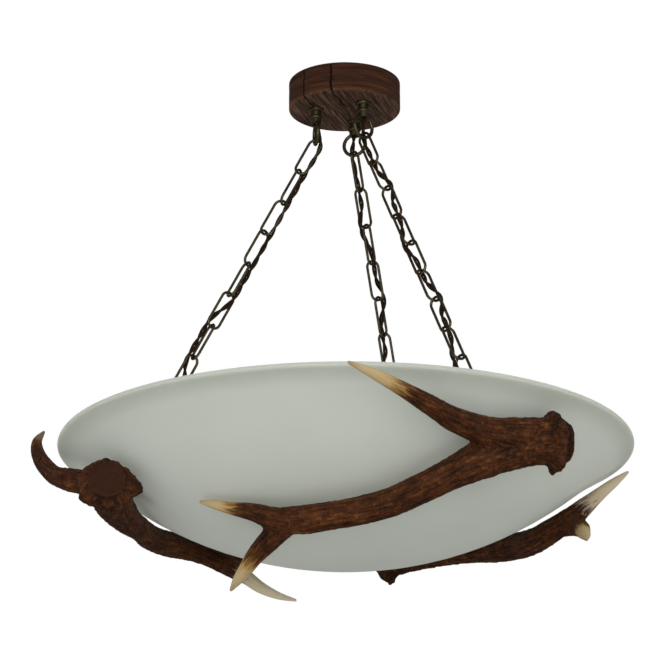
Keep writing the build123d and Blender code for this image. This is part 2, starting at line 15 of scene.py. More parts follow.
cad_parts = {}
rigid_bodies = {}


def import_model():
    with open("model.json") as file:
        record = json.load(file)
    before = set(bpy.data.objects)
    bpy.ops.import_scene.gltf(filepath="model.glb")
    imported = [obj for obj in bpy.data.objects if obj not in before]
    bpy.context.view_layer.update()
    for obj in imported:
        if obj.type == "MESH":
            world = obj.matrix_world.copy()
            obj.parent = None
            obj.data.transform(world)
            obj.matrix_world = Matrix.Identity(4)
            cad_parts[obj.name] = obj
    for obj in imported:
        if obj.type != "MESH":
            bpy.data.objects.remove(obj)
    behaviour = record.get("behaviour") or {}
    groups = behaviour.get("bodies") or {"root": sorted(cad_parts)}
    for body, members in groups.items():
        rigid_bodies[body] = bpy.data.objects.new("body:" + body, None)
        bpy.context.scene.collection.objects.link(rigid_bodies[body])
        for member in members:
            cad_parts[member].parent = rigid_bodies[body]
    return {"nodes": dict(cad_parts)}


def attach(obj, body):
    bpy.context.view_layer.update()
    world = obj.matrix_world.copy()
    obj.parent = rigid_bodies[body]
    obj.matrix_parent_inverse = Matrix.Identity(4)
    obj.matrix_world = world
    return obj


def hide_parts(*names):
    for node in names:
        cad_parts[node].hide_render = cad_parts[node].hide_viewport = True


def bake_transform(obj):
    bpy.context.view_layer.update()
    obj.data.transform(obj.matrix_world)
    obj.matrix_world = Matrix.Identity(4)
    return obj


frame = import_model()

MM = 0.001
PHOTO_SIDE = 665
LATTICE = 32
log = logging.getLogger("antler_bowl_light")
Array = np.ndarray
Span = tuple[float, float]
Point = tuple[float, float, float]
Row = tuple[float, float, float, float]
Feed = Node | NodeSocket | float | Point


class Side(Enum):
    """The three chains and antlers, with their azimuths in degrees anticlockwise from +X."""

    LEFT = 190.0
    FRONT = -50.0
    REAR = 70.0

    @property
    def label(self) -> str:
        """The side's name as the nodes use it."""
        return self.name.lower()


def linear(code: str) -> Row:
    """Turns an sRGB hex colour into linear light.

    Args:
        code: six hex digits after a hash.

    Returns:
        Linear red, green and blue, and an alpha of one.
    """
    srgb = [int(code[at:at + 2], 16) / 255 for at in (1, 3, 5)]
    light = [c / 12.92 if c <= 0.04045 else ((c + 0.055) / 1.055) ** 2.4 for c in srgb]
    return (*light, 1.0)


def fresh_tree(owner: Material | World) -> NodeTree:
    """Turns on an owner's nodes and empties their tree.

    Args:
        owner: a new material or world.

    Returns:
        Its node tree.
    """
    owner.use_nodes = True
    owner.node_tree.nodes.clear()
    return owner.node_tree


def put(tree: NodeTree, kind: str, inputs: dict | Sequence = (),
        stops: Sequence[tuple[float, str]] = (), **settings: str) -> Node:
    """Adds one node with its settings and links.

    Args:
        tree: the node tree.
        kind: the node's type name, without its ShaderNode.
        inputs: what goes into the first sockets in order, or a socket's name or number to what goes in:
            a value, a socket that feeds it, or a node whose first open output does.
        stops: a colour ramp's positions and hex colours.
        settings: attributes to set on the node.

    Returns:
        The new node.
    """
    node = tree.nodes.new("ShaderNode" + kind)
    for key, value in settings.items():
        setattr(node, key, value)
    if stops:
        ramp = node.color_ramp.elements
        while len(ramp) < len(stops):
            ramp.new(0.5)
        for element, (place, code) in zip(ramp, stops):
            element.position = place
            element.color = linear(code)
    for key, value in inputs.items() if isinstance(inputs, dict) else enumerate(inputs):
        if isinstance(value, Node):
            value = next(output for output in value.outputs if output.enabled)
        if isinstance(value, NodeSocket):
            tree.links.new(value, node.inputs[key])
        else:
            node.inputs[key].default_value = value
    return node


@dataclass(frozen=True)
class Finish:
    """A finish: its name, the record's slot and the values its surface starts from."""

    name: str
    slot: str
    roughness: float
    metallic: float = 0.0
    gloss: float = 0.5

    def paint(self, tree: NodeTree) -> dict[str, Feed]:
        """What feeds the surface's sockets; each finish has its own pattern.

        Args:
            tree: the material's node tree.

        Returns:
            What feeds the surface's sockets.
        """
        raise NotImplementedError

    def make(self) -> Material:
        """Makes the material, the first time it is asked for.

        Returns:
            The finished material.
        """
        found = bpy.data.materials.get(self.name)
        if found:
            return found
        material = bpy.data.materials.new(self.name)
        tree = fresh_tree(material)
        plain = {"Roughness": self.roughness, "Metallic": self.metallic, "Specular IOR Level": self.gloss}
        surface = put(tree, "BsdfPrincipled", plain | self.paint(tree))
        put(tree, "OutputMaterial", (surface,))
        return material


@dataclass(frozen=True)
class Crack:
    """A drying crack along the grain: how far across the grain it runs, where it ends, and its width."""

    across: float
    end: float
    width: float
    waver: float = 0.002
    taper: float = 0.006

    def mask(self, tree: NodeTree, turned: Node) -> Node:
        """One along the crack's wavering line, nothing elsewhere.

        Args:
            tree: the wood's tree.
            turned: Object coordinates turned so that X runs along the grain.

        Returns:
            The node that gives the mask.
        """
        along, across, _ = put(tree, "SeparateXYZ", (turned,)).outputs
        noise = put(tree, "TexNoise", {"Vector": turned, "Scale": 120.0, "Detail": 3})
        shift = put(tree, "Math", (
            noise, 2 * self.waver, -self.waver - self.across), operation="MULTIPLY_ADD")
        off = put(tree, "Math", (across, shift), operation="ADD")
        gap = put(tree, "Math", (off,), operation="ABSOLUTE")
        line = put(tree, "MapRange", (
            gap, self.width * 0.35, self.width, 1.0, 0.0), interpolation_type="SMOOTHSTEP")
        stop = put(tree, "MapRange", (along, self.end - self.taper, self.end, 1.0, 0.0))
        return put(tree, "Math", (line, stop), operation="MULTIPLY")


@dataclass(frozen=True)
class StainedOak(Finish):
    """Brushed oak under dark stain: ridged grain, warm wear with a painted highlight along the low edge,
    drying cracks, and an underside painted lighter and greyer as painted light.

    The pairs are where a change starts and ends, in metres: down to the underside, down and out to the
    worn edge, and across towards +X, where the edge's wear and painted highlight fade out.
    """

    grain_turn: float = 72.0
    ridge_mm: float = 2.3
    ridge_run_mm: float = 30.0
    ridge_depth: float = 0.0018
    # where the underside starts: its own grain and its painted light
    under_z: Span = (-0.0245, -0.0268)
    edge_z: Span = (-0.0228, -0.0252)
    edge_r: Span = (0.0462, 0.0485)
    # where the low edge's wear and painted highlight fade out towards +X
    edge_fade_x: Span = (0.0, 0.03)
    cracks: tuple[Crack, ...] = (Crack(-0.0038, -0.007, 0.0011), Crack(0.0235, -0.011, 0.0009))

    def paint(self, tree: NodeTree) -> dict[str, Feed]:
        """Noise drawn out along the grain below and round the side, with worn edges and cracks over it; the
        low edge also carries a painted highlight, and the underside painted light.

        Args:
            tree: the material's node tree.

        Returns:
            What feeds the surface's sockets.
        """
        place = put(tree, "TexCoord").outputs["Object"]
        x, y, z = put(tree, "SeparateXYZ", (place,)).outputs
        turned = put(tree, "Mapping", {"Vector": place, "Rotation": (0, 0, -radians(self.grain_turn))})
        fine, long = 1000 / self.ridge_mm, 1000 / self.ridge_run_mm
        grains = []
        for start, scale in ((place, (long, long, fine)), (turned, (long, fine, fine))):
            drawn = put(tree, "Mapping", {"Vector": start, "Scale": scale})
            grains.append(put(tree, "TexNoise", {
                "Vector": drawn, "Scale": 1.0, "Detail": 5, "Roughness": 0.62, "Distortion": 0.35}))
        below = put(tree, "MapRange", (z, *self.under_z))
        grain = put(tree, "Mix", {0: below, 2: grains[0], 3: grains[1]})
        tone = put(tree, "ValToRGB", (grain,), stops=[
            (0.28, "#24120a"), (0.46, "#3a1e0f"), (0.60, "#472611"), (0.78, "#5e3719")])
        # painted light: the underside's ramp is lighter and greyer than the side's, with grey on the ridges
        lit_underside = put(tree, "ValToRGB", (grain,), stops=[
            (0.32, "#22140d"), (0.46, "#493023"), (0.57, "#624536"), (0.72, "#8c6a57")])
        # the low edge: worn wood with a painted highlight, in patches, fading towards +X
        cloud = put(tree, "TexNoise", {"Vector": place, "Scale": 42.0, "Detail": 3})
        spots = put(tree, "MapRange", (cloud, 0.42, 0.66, 0.1, 0.9))
        level = put(tree, "CombineXYZ", (x, y))
        reach = put(tree, "VectorMath", (level,), operation="LENGTH")
        out = put(tree, "MapRange", (reach, *self.edge_r))
        edge_fade = put(tree, "MapRange", (x, *self.edge_fade_x, 1.0, 0.25))
        edge_wear_and_highlight = put(tree, "MapRange", (z, *self.edge_z, 0.0, 1.0))
        for share in (out, spots, edge_fade):
            edge_wear_and_highlight = put(tree, "Math", (edge_wear_and_highlight, share), operation="MULTIPLY")
        # painted light: the underside takes the lighter, greyer ramp
        side_and_lit_underside = put(tree, "Mix", {0: below, 6: tone, 7: lit_underside}, data_type="RGBA")
        # 6e4222 is worn wood and painted highlight along the low edge
        colour = put(tree, "Mix", {0: edge_wear_and_highlight, 6: side_and_lit_underside, 7: linear("#6e4222")}, data_type="RGBA")
        height = grain
        for crack in self.cracks:
            line = crack.mask(tree, turned)
            colour = put(tree, "Mix", {0: line, 6: colour, 7: linear("#0b0704")}, data_type="RGBA")
            height = put(tree, "Math", (line, -1.6, height), operation="MULTIPLY_ADD")
        bump = put(tree, "Bump", {"Height": height, "Strength": 0.9, "Distance": self.ridge_depth})
        rough = put(tree, "MapRange", {0: grain, 3: 0.72, 4: 0.52})
        return {"Base Color": colour, "Roughness": rough, "Normal": bump}


@dataclass(frozen=True)
class AntiqueBrass(Finish):
    """Brass darkened in a sulphur bath and rubbed back: brown black with yellower high spots."""

    spot_mm: float = 9.0

    def paint(self, tree: NodeTree) -> dict[str, Feed]:
        """Patches of patina and rubbed brass from one noise.

        Args:
            tree: the material's node tree.

        Returns:
            What feeds the surface's sockets.
        """
        place = put(tree, "TexCoord").outputs["Object"]
        patch = put(tree, "TexNoise", {
            "Vector": place, "Scale": 1000 / self.spot_mm, "Detail": 4, "Roughness": 0.6})
        tone = put(tree, "ValToRGB", (patch,), stops=[
            (0.34, "#564d3a"), (0.54, "#70664e"), (0.70, "#82765a"), (0.84, "#a08d62")])
        rough = put(tree, "MapRange", (patch, 0.3, 0.75, 0.5, 0.36))
        return {"Base Color": tone, "Roughness": rough}


@dataclass(frozen=True)
class CastAntler(Finish):
    """Cast resin painted as red deer antler: dark brown in the gutters, rubbed ridges, pale bone tips, and
    painted light that lightens some tips further.
    """

    gutter_mm: float = 2.0
    pearl_mm: float = 2.1
    pearl_depth: float = 0.0011

    def paint(self, tree: NodeTree) -> dict[str, Feed]:
        """Brown by the relief's height, pale by the distance from each tip, red brown on the cut, and
        painted light that lightens some tips further.

        Args:
            tree: the material's node tree.

        Returns:
            What feeds the surface's sockets.
        """
        grain, relief, tip, ivory, cut = (
            put(tree, "Attribute", attribute_name=name).outputs["Vector" if name == "grain" else "Fac"]
            for name in ("grain", "relief", "tip", "ivory", "cut"))
        place = put(tree, "TexCoord").outputs["Object"]
        gutters = put(tree, "TexNoise", {
            "Vector": grain, "Scale": 1000 / self.gutter_mm, "Detail": 4, "Roughness": 0.65})
        stain = put(tree, "TexNoise", {"Vector": place, "Scale": 38.0, "Detail": 3})
        pearls = put(tree, "TexVoronoi", {"Vector": place, "Scale": 1000 / self.pearl_mm})
        pearl = put(tree, "MapRange", (pearls, 0.0, 0.6, 1.0, 0.0))
        shade = gutters
        for part, share in ((relief, 0.30), (stain, 0.30), (pearl, 0.16)):
            shade = put(tree, "Math", (part, share, shade), operation="MULTIPLY_ADD")
        brown = put(tree, "ValToRGB", (shade,), stops=[
            (0.45, "#27140a"), (0.64, "#41220d"), (0.82, "#583013"), (1.0, "#744822")])
        fray = put(tree, "Math", (gutters, 0.9, -0.45), operation="MULTIPLY_ADD")
        ragged = put(tree, "Math", (tip, fray), operation="ADD")
        pale = put(tree, "ValToRGB", (ragged,), stops=[
            (0.0, "#6a451f"), (0.20, "#9a7843"), (0.45, "#b89f72"), (0.80, "#b5a27c"), (1.0, "#a08c68")])
        reach = put(tree, "MapRange", (ragged, -0.22, 0.34), interpolation_type="SMOOTHSTEP")
        amount = put(tree, "Math", (reach, ivory), operation="MULTIPLY")
        # painted light: a tip share over one lightens the tip towards #d9d0b8
        painted_tip_light = put(tree, "MapRange", (ivory, 1.0, 2.0))
        tip_with_painted_light = put(tree, "Mix", {0: painted_tip_light, 6: pale, 7: linear("#d9d0b8")}, data_type="RGBA")
        coat = put(tree, "Mix", {0: amount, 6: brown, 7: tip_with_painted_light}, data_type="RGBA")
        face = put(tree, "Mix", {0: cut, 6: coat, 7: linear("#381b0c")}, data_type="RGBA")
        height = put(tree, "Math", (pearl, 0.6, gutters), operation="MULTIPLY_ADD")
        calm = put(tree, "Math", (reach, cut), operation="MAXIMUM")
        depth = put(tree, "MapRange", {0: calm, 3: 0.8, 4: 0.15})
        bump = put(tree, "Bump", {"Height": height, "Strength": depth, "Distance": self.pearl_depth})
        rough = put(tree, "MapRange", {0: calm, 3: 0.56, 4: 0.42})
        return {"Base Color": face, "Roughness": rough, "Normal": bump}


@dataclass(frozen=True)
class FrostedGlass(Finish):
    """Slumped glass etched in acid: grey white with a green cast, satin, with painted shade towards the rim.

    Light that falls into the bowl scatters through the wall, over a few times its thickness.
    """

    rim_z: float = -0.345
    # how far below the rim the painted shade reaches
    rim_shade_band: float = 0.012
    scatter: Point = (0.020, 0.0205, 0.020)
    etch_depth: float = 0.0003

    def paint(self, tree: NodeTree) -> dict[str, Feed]:
        """A faint unevenness of tone and of the etched skin, and painted shade towards the rim.

        Args:
            tree: the material's node tree.

        Returns:
            What feeds the surface's sockets.
        """
        place = put(tree, "TexCoord").outputs["Object"]
        haze = put(tree, "TexNoise", {"Vector": place, "Scale": 9.0, "Detail": 2})
        tone = put(tree, "ValToRGB", (haze,), stops=[(0.3, "#babdb5"), (0.7, "#bfc2ba")])
        height = put(tree, "SeparateXYZ", (place,)).outputs["Z"]
        # painted shade: the band just below the rim is drawn darker
        painted_rim_shade = put(tree, "MapRange", (
            height, self.rim_z - self.rim_shade_band, self.rim_z), interpolation_type="SMOOTHSTEP")
        # a9aca2 is the painted rim shade
        ground = put(tree, "Mix", {0: painted_rim_shade, 6: tone, 7: linear("#a9aca2")}, data_type="RGBA")
        etch = put(tree, "TexNoise", {"Vector": place, "Scale": 900.0, "Detail": 2})
        bump = put(tree, "Bump", {"Height": etch, "Strength": 0.04, "Distance": self.etch_depth})
        return {"Base Color": ground, "Normal": bump, "Subsurface Weight": 1.0, "Subsurface Scale": 1.0,
                "Subsurface Radius": self.scatter}


@dataclass(frozen=True)
class BraidedFlex(Finish):
    """Brown rayon braid over each core, seen as short slanting stitches."""

    stitch_mm: float = 1.1
    stitch_depth: float = 0.0004

    def paint(self, tree: NodeTree) -> dict[str, Feed]:
        """Two slanting sets of stitches on the strand's own map, drawn coarse enough to show.

        Args:
            tree: the material's node tree.

        Returns:
            What feeds the surface's sockets.
        """
        lay = put(tree, "UVMap", uv_map="braid")
        girth, run, _ = put(tree, "SeparateXYZ", (lay,)).outputs
        waves = []
        for turn in (1.0, -1.0):
            slant = put(tree, "Math", (run, turn, girth), operation="MULTIPLY_ADD")
            beat = put(tree, "Math", (slant, 2000 * pi / self.stitch_mm), operation="MULTIPLY")
            waves.append(put(tree, "Math", (beat,), operation="SINE"))
        weave = put(tree, "Math", waves, operation="MULTIPLY")
        level = put(tree, "MapRange", (weave, -1.0, 1.0))
        tone = put(tree, "ValToRGB", (level,), stops=[
            (0.0, "#160d05"), (0.6, "#291a0c"), (1.0, "#443016")])
        bump = put(tree, "Bump", {"Height": level, "Strength": 0.5, "Distance": self.stitch_depth})
        return {"Base Color": tone, "Normal": bump}


@dataclass(frozen=True)
class PlainFinish(Finish):
    """Zinc plate, moulded plastic, rubber or opal glass: one tone with a fine skin of its own."""

    dark: str = "#808080"
    light: str = "#909090"
    grit_mm: float = 1.5
    grit_depth: float = 0.0003
    skin: float = 0.1

    def paint(self, tree: NodeTree) -> dict[str, Feed]:
        """Two close tones in soft patches, with a fine bump.

        Args:
            tree: the material's node tree.

        Returns:
            What feeds the surface's sockets.
        """
        place = put(tree, "TexCoord").outputs["Object"]
        patch = put(tree, "TexNoise", {"Vector": place, "Scale": 120 / self.grit_mm, "Detail": 3})
        tone = put(tree, "ValToRGB", (patch,), stops=[(0.35, self.dark), (0.65, self.light)])
        grit = put(tree, "TexNoise", {"Vector": place, "Scale": 1000 / self.grit_mm, "Detail": 2})
        bump = put(tree, "Bump", {"Height": grit, "Strength": self.skin, "Distance": self.grit_depth})
        return {"Base Color": tone, "Normal": bump}


OAK = StainedOak("brushed_stained_oak", "rose_wood", roughness=0.6, gloss=0.15)
BRASS = AntiqueBrass("antique_brass_rubbed", "antique_brass", roughness=0.4, metallic=1.0)
HORN = CastAntler("cast_painted_antler", "antler_resin", roughness=0.55, gloss=0.12)
GLASS = FrostedGlass("acid_frosted_glass", "frosted_glass", roughness=0.42)
BRAID = BraidedFlex("brown_braided_flex", "brown_flex", roughness=0.75, gloss=0.15)
ZINC = PlainFinish("zinc_plated_steel", "zinc_steel", 0.35, 1.0, dark="#9a9d9e", light="#b9bbb8")
NYLON = PlainFinish("moulded_white_nylon", "terminal_plastic", 0.5, dark="#dcdad2", light="#e4e2da")
PHENOLIC = PlainFinish("moulded_black_phenolic", "holder_plastic", 0.42, dark="#1b1a19", light="#242322")
RUBBER = PlainFinish("grey_rubber", "grey_rubber", 0.8, dark="#2a2a2a", light="#353534", skin=0.25)
OPAL = PlainFinish("opal_lamp_glass", "opal_glass", 0.12, dark="#eeece4", light="#f3f1ea", skin=0.0)


def dress(nodes: Sequence[str], finish: Finish) -> None:
    """Gives solids that stay shown a finish.

    Args:
        nodes: the nodes' names.
        finish: their finish.
    """
    for name in nodes:
        shown = frame["nodes"][name]
        shown.data.materials.clear()
        shown.data.materials.append(finish.make())
        log.info("%s dressed in %s", name, finish.name)


def mesh_object(name: str, points: Array, faces: list | Array, finish: Finish) -> Object:
    """Makes a smooth-shaded piece.

    Args:
        name: the piece's name.
        points: vertices in metres, one row each.
        faces: vertex numbers, one row for each face.
        finish: its finish.

    Returns:
        The linked object, at the origin.
    """
    mesh = bpy.data.meshes.new(name)
    mesh.from_pydata(points.tolist(), [], [list(face) for face in faces])
    mesh.polygons.foreach_set("use_smooth", np.ones(len(mesh.polygons), bool))
    mesh.materials.append(finish.make())
    mesh.update()
    piece = bpy.data.objects.new(name, mesh)
    bpy.context.scene.collection.objects.link(piece)
    log.info("%s: %d faces in %s", name, len(mesh.polygons), finish.name)
    return piece


def attribute(piece: Object, name: str, values: Array) -> None:
    """Stores a number or a vector on every vertex.

    Args:
        piece: the mesh object.
        name: the attribute's name.
        values: one number, or one row of three, for each vertex.
    """
    kind, key = ("FLOAT_VECTOR", "vector") if values.ndim == 2 else ("FLOAT", "value")
    made = piece.data.attributes.new(name, kind, "POINT")
    made.data.foreach_set(key, values.astype(np.float32).ravel())


def unit(rows: Array) -> Array:
    """Every row at length one."""
    return rows / np.maximum(np.linalg.norm(rows, axis=-1, keepdims=True), 1e-12)


def lattice_noise(points: Array, size: float, seed: int) -> Array:
    """Soft noise from 0 to 1: random values on a cubic lattice of that size, smoothly blended.

    Args:
        points: where, one row each, in metres.
        size: the lattice's spacing in metres.
        seed: the number the lattice is drawn from.

    Returns:
        One value for each point.
    """
    lattice = np.random.default_rng(seed).random((LATTICE,) * 3)
    scaled = points / size
    cell = np.floor(scaled).astype(int)
    part = scaled - cell
    ease = part * part * (3 - 2 * part)
    total = np.zeros(len(points))
    for corner in np.ndindex(2, 2, 2):
        weight = np.prod(np.where(np.array(corner) == 1, ease, 1 - ease), axis=1)
        at = (cell + np.array(corner)) % LATTICE
        total += weight * lattice[at[:, 0], at[:, 1], at[:, 2]]
    return total


def step(values: Array, low: float, high: float) -> Array:
    """A smooth step from 0 at low to 1 at high."""
    share = np.clip((values - low) / (high - low), 0, 1)
    return share * share * (3 - 2 * share)


def run_along(line: Array) -> Array:
    """How far along a line each of its points lies."""
    return np.concatenate([[0], np.cumsum(np.linalg.norm(np.diff(line, axis=0), axis=1))])


def fetched(items: bpy_prop_collection, key: str, width: int = 3, kind: type = float) -> Array:
    """Reads one thing from every item of a mesh.

    Args:
        items: vertices, normals or face corners.
        key: what to read.
        width: how many numbers it has.
        kind: the numbers' type.

    Returns:
        One row for each item.
    """
    values = np.empty(len(items) * width, kind)
    items.foreach_get(key, values)
    return values.reshape(-1, width)


def settled(holder: Object) -> tuple[Array, Array, Array]:
    """What an object's curve or modifiers come to. The object goes.

    Args:
        holder: an object that isn't linked yet.

    Returns:
        Vertices, vertex normals, and the vertex number at every face corner.
    """
    bpy.context.scene.collection.objects.link(holder)
    bpy.context.view_layer.update()
    made = bpy.data.meshes.new_from_object(holder.evaluated_get(bpy.context.evaluated_depsgraph_get()))
    found = (fetched(made.vertices, "co"), fetched(made.vertex_normals, "vector"),
             fetched(made.loops, "vertex_index", 1, int))
    bpy.data.batch_remove([holder, holder.data, made])
    return found


def stand(data: Camera | Light, place: Point, *axes: Array | Point) -> Object:
    """Stands a camera or light in the scene.

    Args:
        data: the camera or light.
        place: where, in metres.
        axes: unit vectors along its own X, Y and Z.

    Returns:
        The linked object.
    """
    made = bpy.data.objects.new(data.name, data)
    made.matrix_world = Matrix.Translation(place) @ Matrix(np.column_stack(axes).tolist()).to_4x4()
    bpy.context.scene.collection.objects.link(made)
    return made


def joined(forms: list[tuple[Array, list]]) -> tuple[Array, list]:
    """Joins forms into one, each one's faces numbered on from the form before.

    Args:
        forms: each form's vertices and faces.

    Returns:
        All vertices and faces.
    """
    starts = np.cumsum([0] + [len(points) for points, _ in forms]).tolist()
    faces = [[number + start for number in face]
             for (_, sides), start in zip(forms, starts) for face in sides]
    return np.concatenate([points for points, _ in forms]), faces


def tube(path: Array, normal: Array, binormal: Array, radius: Array, around: int) -> tuple[Array, list]:
    """A closed tube: centre plus radius times (cos v along the normal + sin v along the binormal).

    Args:
        path: centre points, one row each.
        normal: unit vectors across the path.
        binormal: unit vectors across the path and the normal.
        radius: radii, one for each centre, or one row of radii round each centre.
        around: points round the tube.

    Returns:
        Vertices and faces, with a fan at each end.
    """
    turn = np.linspace(0, 2 * pi, around, endpoint=False)
    reach = np.broadcast_to(radius if radius.ndim == 2 else radius[:, None], (len(path), around))
    ring = normal[:, None] * np.cos(turn)[None, :, None] + binormal[:, None] * np.sin(turn)[None, :, None]
    grid = path[:, None] + ring * reach[..., None]
    count = len(path)
    points = np.concatenate([grid.reshape(-1, 3), path[:1], path[-1:]])
    here = np.arange(count * around).reshape(count, around)
    after = np.roll(here, -1, axis=1)
    sides = np.stack([here[:-1], after[:-1], after[1:], here[1:]], -1).reshape(-1, 4)
    first = np.stack([np.full(around, count * around), after[0], here[0]], -1)
    last = np.stack([np.full(around, count * around + 1), here[-1], after[-1]], -1)
    return points, sides.tolist() + first.tolist() + last.tolist()


@dataclass
class Rose:
    """The wooden rose with its strap, screws, terminal block and the loops' nuts."""

    wood: Sequence[str] = ("ceiling_rose",)
    steel: Sequence[str] = ("ceiling_strap", "rose_side_screws")
    plastic: Sequence[str] = ("terminal_block",)
    brass: Sequence[str] = ("terminal_screws", "loop_washers", "loop_nuts")

    def dress(self) -> None:
        """Gives the rose's solids their finishes."""
        dress(self.wood, OAK)
        dress(self.steel, ZINC)
        dress(self.plastic, NYLON)
        dress(self.brass, BRASS)


@dataclass
class Hanger:
    """One loop and chain with the twisted flex woven down it. Sizes in millimetres.

    The rolls are degrees each link has turned round the chain's line from square. The turns are the
    flex's directions round that line, in degrees from outward, beside the loop and then each joint.
    The laps are how far beyond a hinge the ends of each flex piece are worked out.
    """

    side: Side
    rolls: list[float]
    turns: list[float]
    eye_r: float = 178.8
    chain_run: float = 331.0
    loop_r: float = 26.0
    loop_z: float = -60.0
    loop_wire: float = 3.2
    link_inner: float = 33.8
    link_play: float = 0.3
    flex_top_z: float = -8.0
    stub_end_z: float = -47.1
    entry_r: float = 150.0
    entry_z: float = -359.0
    aside: float = 5.3
    off_loop: float = 7.6
    in_hole: float = 0.8
    hold: float = 6.0
    strand: float = 2.3
    lay: float = 32.0
    stub_lap: float = 3.0
    loop_lap: float = 5.0
    joint_lap: float = 6.0
    step: float = 1.6
    around: int = 10

    @property
    def tilt(self) -> float:
        """The chain's lean from upright, in radians."""
        return asin((self.eye_r - self.loop_r) / self.chain_run)

    def line_point(self, outward: float, across: float, down: float) -> Point:
        """A point beside the chain's line.

        Args:
            outward: away from the axis, square to the line.
            across: sideways of the upright plane.
            down: along the line, from where the three lines meet.

        Returns:
            The point in millimetres.
        """
        lean, turn = self.tilt, radians(self.side.value)
        apex = self.loop_z + self.loop_r / tan(lean)
        r = down * sin(lean) + outward * cos(lean)
        z = apex - down * cos(lean) + outward * sin(lean)
        return (r * cos(turn) + across * sin(turn), r * sin(turn) - across * cos(turn), z)

    def level_point(self, r: float, z: float) -> Point:
        """A point in the chain's upright plane."""
        turn = radians(self.side.value)
        return (r * cos(turn), r * sin(turn), z)

    def loop_s(self) -> float:
        """How far down the line the loop's wire lies."""
        return self.loop_r / sin(self.tilt)

    def joint_s(self, number: int) -> float:
        """How far down the line a link meets the next one."""
        first = self.loop_s() + self.link_inner / 2 - self.loop_wire / 2 - self.link_play
        return first + (number - 0.5) * (self.link_inner - self.link_play)

    def beside(self, turn: float, off: float, down: float) -> Point:
        """A point that far off the chain's line, in a direction round it in degrees from outward."""
        return self.line_point(off * cos(radians(turn)), off * sin(radians(turn)), down)

    def route(self) -> Array:
        """The flex's route: down the stem, past the ring, beside each joint, through links between.

        Returns:
            The route's points in metres.
        """
        rolls = [0.0] + self.rolls
        half_pitch = (self.link_inner - self.link_play) / 2
        points = [self.level_point(self.loop_r, self.flex_top_z),
                  self.level_point(self.loop_r, self.stub_end_z),
                  self.beside(self.turns[0] + rolls[1] / 2, self.off_loop, self.loop_s() - self.loop_wire)]
        for number, (before, after) in enumerate(zip(self.turns, self.turns[1:]), start=1):
            meet = self.joint_s(number)
            if before != after:
                off = self.in_hole * 2**0.5 * cos(radians(after - before) / 2)
                points.append(self.beside((before + after) / 2 + rolls[number], off, meet - half_pitch))
            turn = after + (rolls[number] + rolls[number + 1]) / 2
            points += [self.beside(turn, self.aside, meet + along) for along in (-self.hold, self.hold)]
        points.append(self.level_point(self.entry_r, self.entry_z))
        return np.array(points) * MM

    def centreline(self) -> Array:
        """The smooth line through the route, in even steps.

        Returns:
            Points of the route's spline, in metres.
        """
        points = self.route()
        curve = bpy.data.curves.new(f"{self.side.label}_flex_route", "CURVE")
        curve.dimensions = "3D"
        spline = curve.splines.new("NURBS")
        spline.points.add(len(points) - 1)
        spline.points.foreach_set("co", np.column_stack([points, np.ones(len(points))]).ravel())
        spline.order_u = 3
        spline.use_endpoint_u = True
        spline.resolution_u = 16
        line, _, _ = settled(bpy.data.objects.new(curve.name, curve))
        run = run_along(line)
        even = np.linspace(0, run[-1], int(run[-1] / (self.step * MM)) + 1)
        return np.stack([np.interp(even, run, line[:, axis]) for axis in range(3)], -1)

    def strands(self, line: Array, start: int, stop: int) -> tuple[Array, list, Array]:
        """Two cores twisted round the line: each strand's centre circles it once in every lay.

        Args:
            line: the whole centreline.
            start: the first point's number.
            stop: the number after the last point's.

        Returns:
            Vertices, faces and each vertex's place on the braid's map.
        """
        turn = radians(self.side.value)
        along = unit(np.gradient(line, axis=0))
        sideways = np.array([sin(turn), -cos(turn), 0.0])
        normal = unit(sideways - along * (along @ sideways)[:, None])
        binormal = np.cross(along, normal)
        run = run_along(line)
        girth = np.linspace(0, pi * self.strand * MM, self.around, endpoint=False)
        lay = np.stack(np.meshgrid(girth, run[start:stop]), -1).reshape(-1, 2)
        cores = []
        for half in (0, pi):
            angle = 2 * pi * run / (self.lay * MM) + half
            swing = normal * np.cos(angle)[:, None] + binormal * np.sin(angle)[:, None]
            centre = line + swing * self.strand / 2 * MM
            way = unit(np.gradient(centre, axis=0))[start:stop]
            across = unit(normal[start:stop] - way * np.sum(normal[start:stop] * way, axis=1)[:, None])
            radius = np.full(stop - start, self.strand / 2 * MM)
            cores.append(tube(centre[start:stop], across, np.cross(way, across), radius, self.around))
        return *joined(cores), np.concatenate([lay, lay[:1], lay[-1:]] * len(cores))

    def flex(self) -> None:
        """Builds the flex as two pieces, each spanning one hinge of the chain."""
        line = self.centreline()
        middle = np.array(self.line_point(0, 0, (self.loop_s() + self.joint_s(1)) / 2)) * MM
        split = int(np.argmin(np.linalg.norm(line - middle, axis=1)))
        label = self.side.label
        parts = [
            (f"{label}_flex_top_twist", 0, split + 1, "ceiling", f"{label}_hanger",
             (self.level_point(self.loop_r, self.stub_end_z + self.stub_lap),
              self.line_point(0, 0, self.loop_s() + self.loop_lap)),
             (f"{label}_flex_stub", f"{label}_flex_upper")),
            (f"{label}_flex_twist", split, len(line), f"{label}_hanger", f"{label}_run",
             (self.line_point(0, 0, self.joint_s(1) - self.joint_lap),
              self.line_point(0, 0, self.joint_s(1) + self.joint_lap)),
             (f"{label}_flex",)),
        ]
        for name, start, stop, upper, lower, ends, nodes in parts:
            points, faces, maps = self.strands(line, start, stop)
            piece = mesh_object(name, points, faces, BRAID)
            layer = piece.data.uv_layers.new(name="braid")
            corner = fetched(piece.data.loops, "vertex_index", 1, int).ravel()
            layer.data.foreach_set("uv", maps[corner].astype(np.float32).ravel())
            np.array(ends[0]) * MM
            np.array(ends[1]) * MM
            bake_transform(piece)
            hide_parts(*nodes)

    def dress(self) -> None:
        """Dresses the loop and the links, and adds the flex."""
        label = self.side.label
        brass = [f"{label}_loop", f"{label}_top_link", f"{label}_chain"]
        if self.side is Side.FRONT:
            brass.append("front_bottom_link")
        dress(brass, BRASS)
        self.flex()


